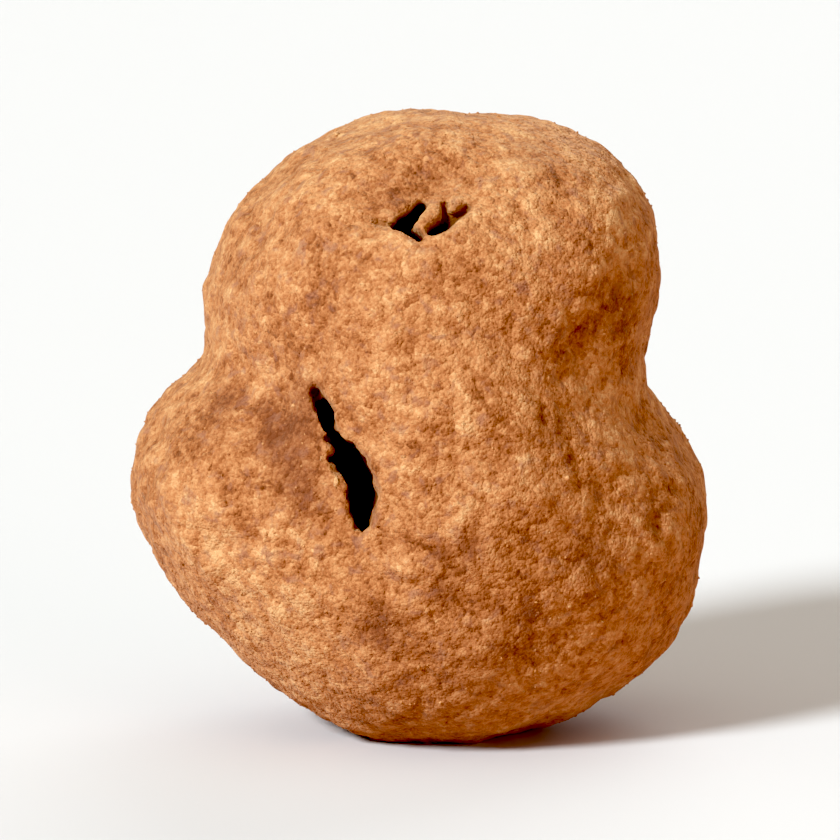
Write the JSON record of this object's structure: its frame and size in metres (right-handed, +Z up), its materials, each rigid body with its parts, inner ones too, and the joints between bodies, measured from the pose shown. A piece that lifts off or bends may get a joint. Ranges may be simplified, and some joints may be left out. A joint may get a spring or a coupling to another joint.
{
  "type": "chocolate coated strawberry",
  "caption": "Whole dried strawberry in a thick, lumpy chocolate coat dusted with cocoa, pinched at the waist, with a narrow slit in the front and a small pit near the top.",
  "frame": {"origin": "middle of the bounding box's underside, in the plane of the flat spot the piece stands on", "axes": "+Z up from the flat spot to the crown, +X to the right cheek as seen from the front, -Y out of the front, which holds the slit"},
  "size_m": [0.021, 0.0176, 0.0226],
  "materials": {
    "cocoa_chocolate": "matt, velvety cocoa powder over a pebbled chocolate coat"
  },
  "bodies": {
    "root": {"coated_strawberry": "cocoa_chocolate"}
  },
  "joints": []
}
